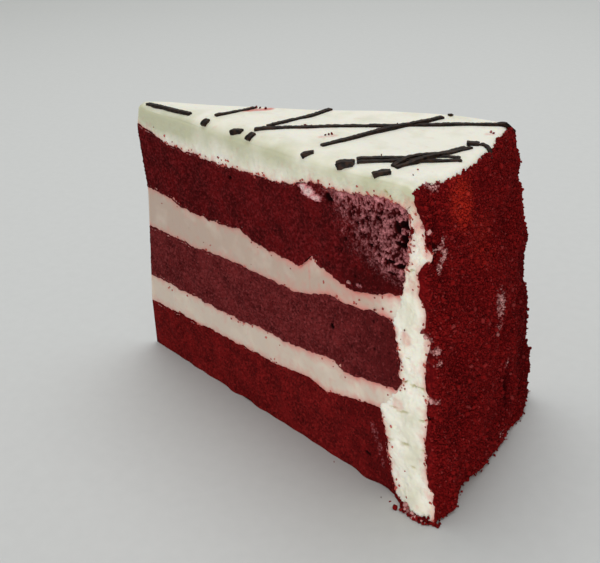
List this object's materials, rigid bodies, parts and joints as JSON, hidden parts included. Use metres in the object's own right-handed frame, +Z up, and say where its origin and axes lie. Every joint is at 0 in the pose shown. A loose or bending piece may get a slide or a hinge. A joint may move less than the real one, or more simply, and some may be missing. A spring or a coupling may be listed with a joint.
{
  "type": "slice of red velvet cake",
  "caption": "Tall wedge of red layer cake: sponges, cream fillings, cream icing, a crumb-coated round side and crossed chocolate strands, standing on its flat base.",
  "frame": {"origin": "under the middle of the slice's bounding box, on the surface it stands on", "axes": "+Z up; +X from the slice's tip out to its round crumb-coated side; the cut face that the picture shows looks towards -Y"},
  "size_m": [0.1276, 0.0679, 0.0913],
  "materials": {
    "sponge": "open crumb, matte, moist dark red",
    "cream": "soft satin cream, off-white",
    "crumbs": "loose grainy crumb, matte, deep red",
    "chocolate": "set dark chocolate, satin"
  },
  "bodies": {
    "root": {"sponge_bottom": "sponge", "cream_lower": "cream", "sponge_middle": "sponge", "cream_upper": "cream", "sponge_top": "sponge", "frosting": "cream", "crumb_coat": "crumbs"}
  },
  "joints": []
}
